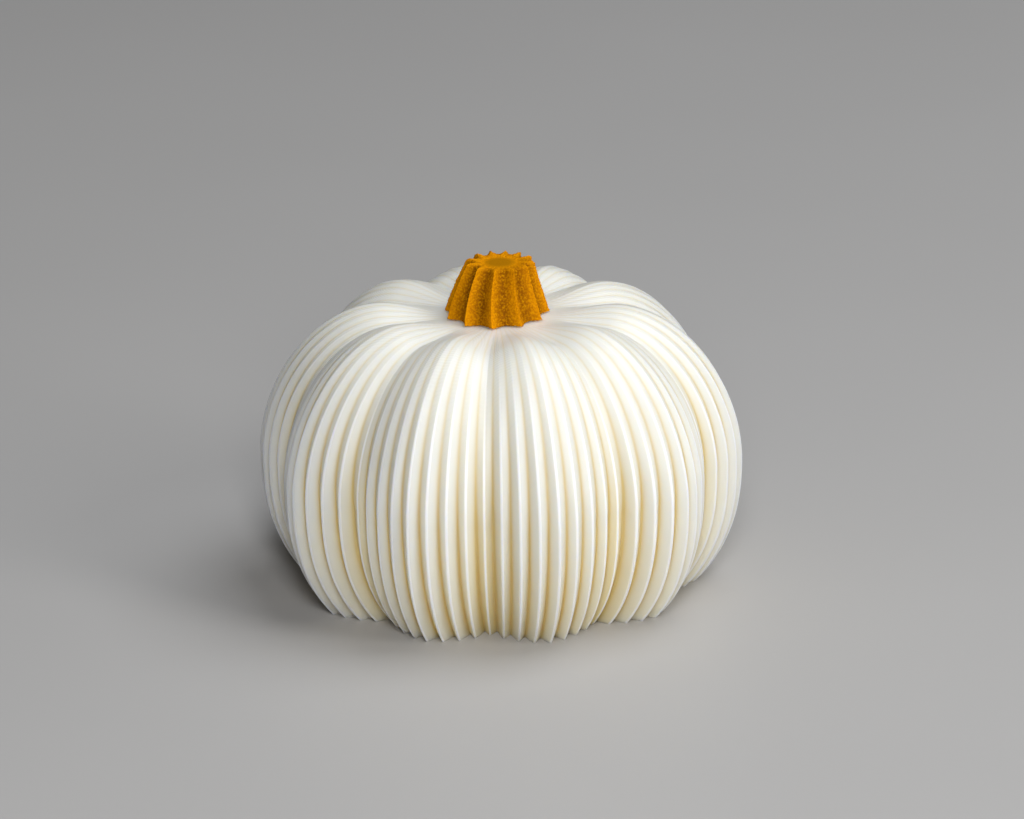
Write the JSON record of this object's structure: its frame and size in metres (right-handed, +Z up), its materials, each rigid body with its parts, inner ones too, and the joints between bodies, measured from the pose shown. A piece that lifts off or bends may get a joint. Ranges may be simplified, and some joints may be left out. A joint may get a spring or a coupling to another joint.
{
  "type": "decorative ribbed pumpkin",
  "caption": "Ivory decorative pumpkin with lobes and fine upright pleats, and a short fluted ochre stem.",
  "frame": {"origin": "centre of the flat underside, on the table", "axes": "+Z up along the stem, +X to the right and -Y towards the viewer in the picture"},
  "size_m": [0.1496, 0.146, 0.1035],
  "materials": {
    "ivory_print": "silky",
    "ochre_print": "grainy"
  },
  "bodies": {
    "root": {"pumpkin_body": "ivory_print", "stem": "ochre_print"}
  },
  "joints": []
}
